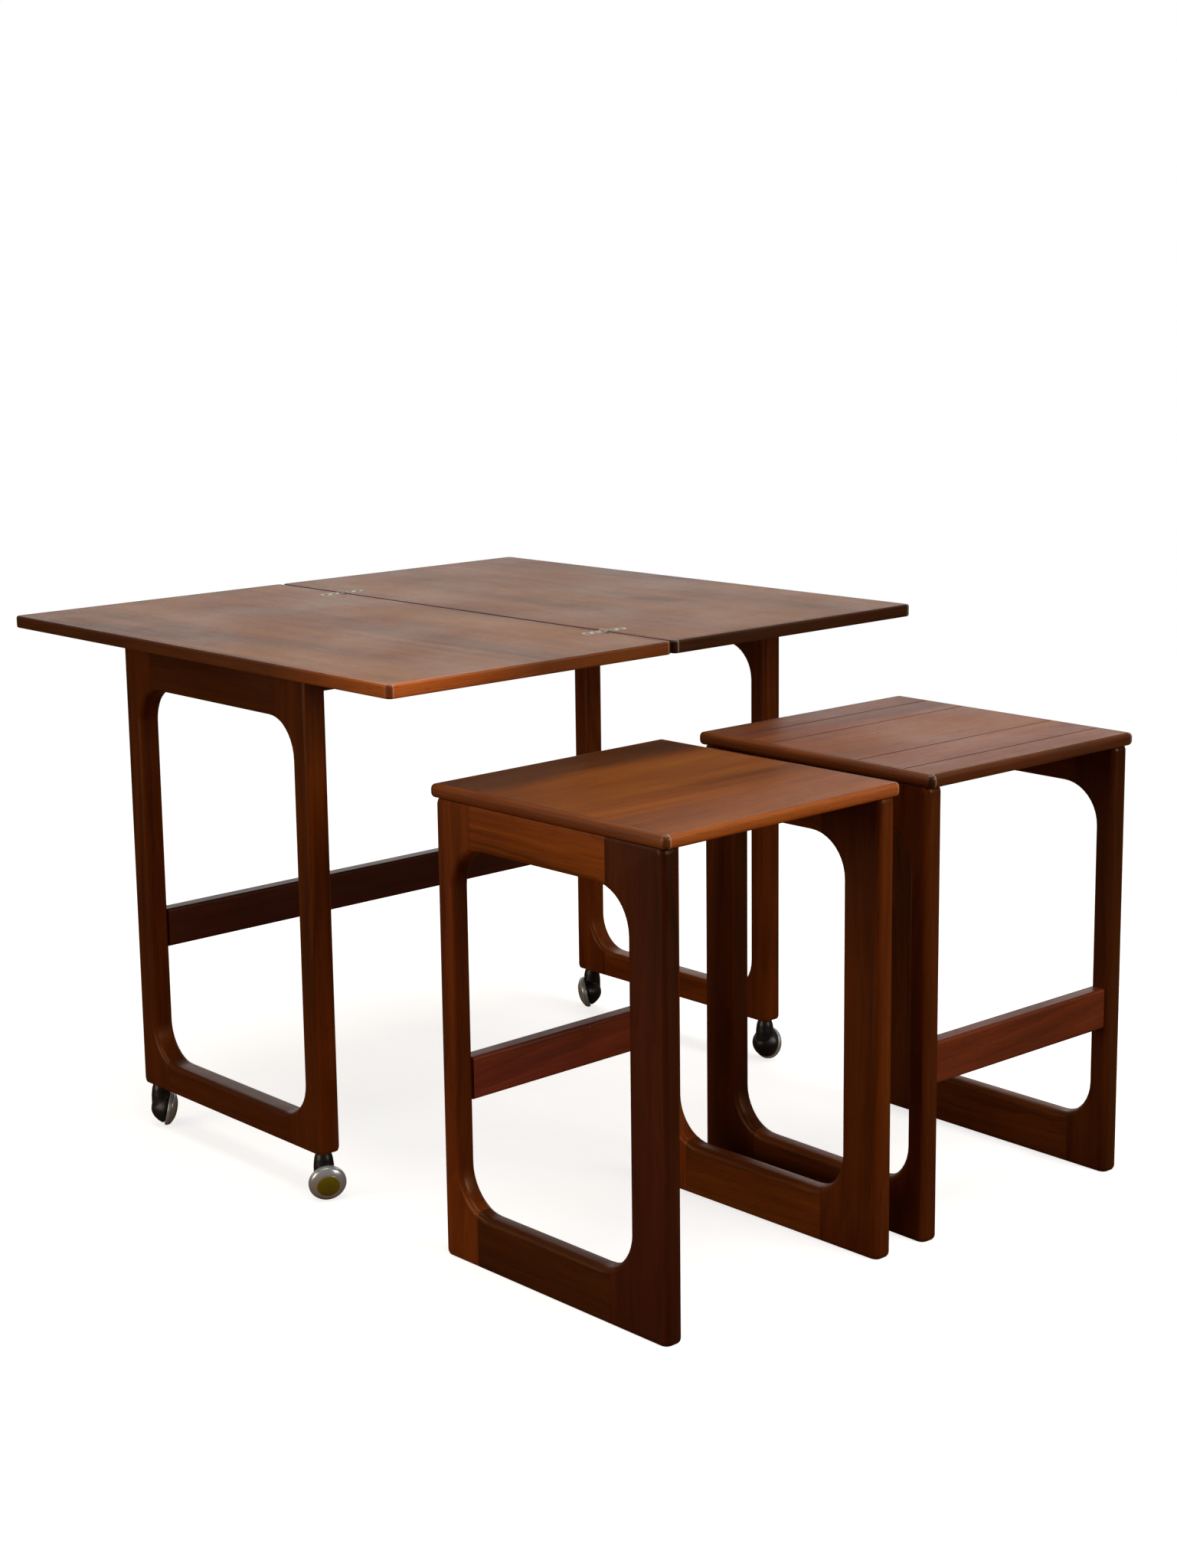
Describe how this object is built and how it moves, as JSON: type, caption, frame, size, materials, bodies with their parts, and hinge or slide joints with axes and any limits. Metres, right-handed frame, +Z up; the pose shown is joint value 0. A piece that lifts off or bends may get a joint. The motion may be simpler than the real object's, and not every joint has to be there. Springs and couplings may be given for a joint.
{
  "type": "nesting tables",
  "caption": "Castor-mounted teak table with a turning fold-over top, and two small tables with rounded loop ends that slide under it one at a time.",
  "frame": {"origin": "on the floor, at the middle of the plan outline of all three tables as they stand", "axes": "+Z up, +X along the two leaves of the large top, +Y from the small tables towards the large table's back"},
  "size_m": [0.691, 0.9502, 0.5319],
  "materials": {
    "top_wood": "satin, oiled teak",
    "small_top_wood": "satin, oiled teak",
    "lipping_wood": "satin, oiled teak",
    "rail_wood": "satin, oiled teak",
    "leg_wood": "satin, oiled teak",
    "dark_wood": "satin, dark oiled teak",
    "zinc": "dull zinc plate",
    "steel": "bright steel",
    "chrome": "bright plated",
    "black_plastic": "satin black",
    "felt": "thin felt"
  },
  "bodies": {
    "large_base": {"left_front_leg": "leg_wood", "left_back_leg": "leg_wood", "left_top_rail": "rail_wood", "left_bottom_rail": "rail_wood", "left_felt_strip": "felt", "right_front_leg": "leg_wood", "right_back_leg": "leg_wood", "right_top_rail": "rail_wood", "right_bottom_rail": "rail_wood", "right_felt_strip": "felt", "back_stretcher": "dark_wood", "pivot_board": "rail_wood"},
    "top_fixed": {"fixed_leaf_panel": "top_wood", "fixed_leaf_lipping": "lipping_wood", "turning_plate": "zinc", "pivot_bolt": "steel", "pivot_nut": "steel", "hinge_1_fixed_strap": "zinc", "hinge_2_fixed_strap": "zinc", "hinge_1_pin": "steel", "hinge_2_pin": "steel"},
    "top_flap": {"flap_leaf_panel": "top_wood", "flap_leaf_lipping": "lipping_wood", "hinge_1_flap_strap": "zinc", "hinge_2_flap_strap": "zinc"},
    "castor_left_front": {"castor_left_front_hood": "black_plastic"},
    "wheel_left_front": {"castor_left_front_wheel": "chrome", "castor_left_front_dome": "chrome"},
    "castor_left_back": {"castor_left_back_hood": "black_plastic"},
    "wheel_left_back": {"castor_left_back_wheel": "chrome", "castor_left_back_dome": "chrome"},
    "castor_right_front": {"castor_right_front_hood": "black_plastic"},
    "wheel_right_front": {"castor_right_front_wheel": "chrome", "castor_right_front_dome": "chrome"},
    "castor_right_back": {"castor_right_back_hood": "black_plastic"},
    "wheel_right_back": {"castor_right_back_wheel": "chrome", "castor_right_back_dome": "chrome"},
    "table_1": {"table_1_left_front_leg": "dark_wood", "table_1_left_back_leg": "leg_wood", "table_1_left_top_rail": "rail_wood", "table_1_left_bottom_rail": "rail_wood", "table_1_right_front_leg": "dark_wood", "table_1_right_back_leg": "leg_wood", "table_1_right_top_rail": "rail_wood", "table_1_right_bottom_rail": "rail_wood", "table_1_top_panel": "small_top_wood", "table_1_top_lipping": "lipping_wood", "table_1_stretcher": "dark_wood"},
    "table_2": {"table_2_left_front_leg": "leg_wood", "table_2_left_back_leg": "leg_wood", "table_2_left_top_rail": "rail_wood", "table_2_left_bottom_rail": "rail_wood", "table_2_right_front_leg": "leg_wood", "table_2_right_back_leg": "leg_wood", "table_2_right_top_rail": "rail_wood", "table_2_right_bottom_rail": "rail_wood", "table_2_top_panel": "small_top_wood", "table_2_top_lipping": "lipping_wood", "table_2_stretcher": "dark_wood"}
  },
  "joints": [
    {"name": "top_turn", "type": "hinge", "parent": "large_base", "child": "top_fixed", "pos_m": [-0.08662, 0.23921, 0.515], "axis": [0, 0, 1], "range_deg": [0, 90]},
    {"name": "leaf_fold", "type": "hinge", "parent": "top_fixed", "child": "top_flap", "pos_m": [0, 0.15258, 0.53025], "axis": [0, -1, 0], "range_deg": [0, 180]},
    {"name": "castor_left_front_swivel", "type": "hinge", "parent": "large_base", "child": "castor_left_front", "pos_m": [-0.3049, 0.00658, 0.0487], "axis": [0, 0, 1], "continuous": true},
    {"name": "castor_left_front_roll", "type": "hinge", "parent": "castor_left_front", "child": "wheel_left_front", "pos_m": [-0.30689, -0.00142, 0.01832], "axis": [-0.4592, -0.8637, -0.2079], "continuous": true},
    {"name": "castor_left_back_swivel", "type": "hinge", "parent": "large_base", "child": "castor_left_back", "pos_m": [-0.3049, 0.29438, 0.0487], "axis": [0, 0, 1], "continuous": true},
    {"name": "castor_left_back_roll", "type": "hinge", "parent": "castor_left_back", "child": "wheel_left_back", "pos_m": [-0.29715, 0.29157, 0.01832], "axis": [0.8109, -0.547, -0.2079], "continuous": true},
    {"name": "castor_right_front_swivel", "type": "hinge", "parent": "large_base", "child": "castor_right_front", "pos_m": [0.3097, 0.00658, 0.0487], "axis": [0, 0, 1], "continuous": true},
    {"name": "castor_right_front_roll", "type": "hinge", "parent": "castor_right_front", "child": "wheel_right_front", "pos_m": [0.31754, 0.00913, 0.01832], "axis": [0.9758, 0.0682, -0.2079], "continuous": true},
    {"name": "castor_right_back_swivel", "type": "hinge", "parent": "large_base", "child": "castor_right_back", "pos_m": [0.3097, 0.29438, 0.0487], "axis": [0, 0, 1], "continuous": true},
    {"name": "castor_right_back_roll", "type": "hinge", "parent": "castor_right_back", "child": "wheel_right_back", "pos_m": [0.30242, 0.29825, 0.01832], "axis": [-0.7269, 0.6545, -0.2079], "continuous": true},
    {"name": "table_1_slide", "type": "slide", "parent": "large_base", "child": "table_1", "axis": [0.1191, 0.9929, 0], "range_m": [0, 0.459]},
    {"name": "table_2_slide", "type": "slide", "parent": "large_base", "child": "table_2", "axis": [0.1289, -0.9917, 0], "range_m": [-0.462, 0]}
  ]
}
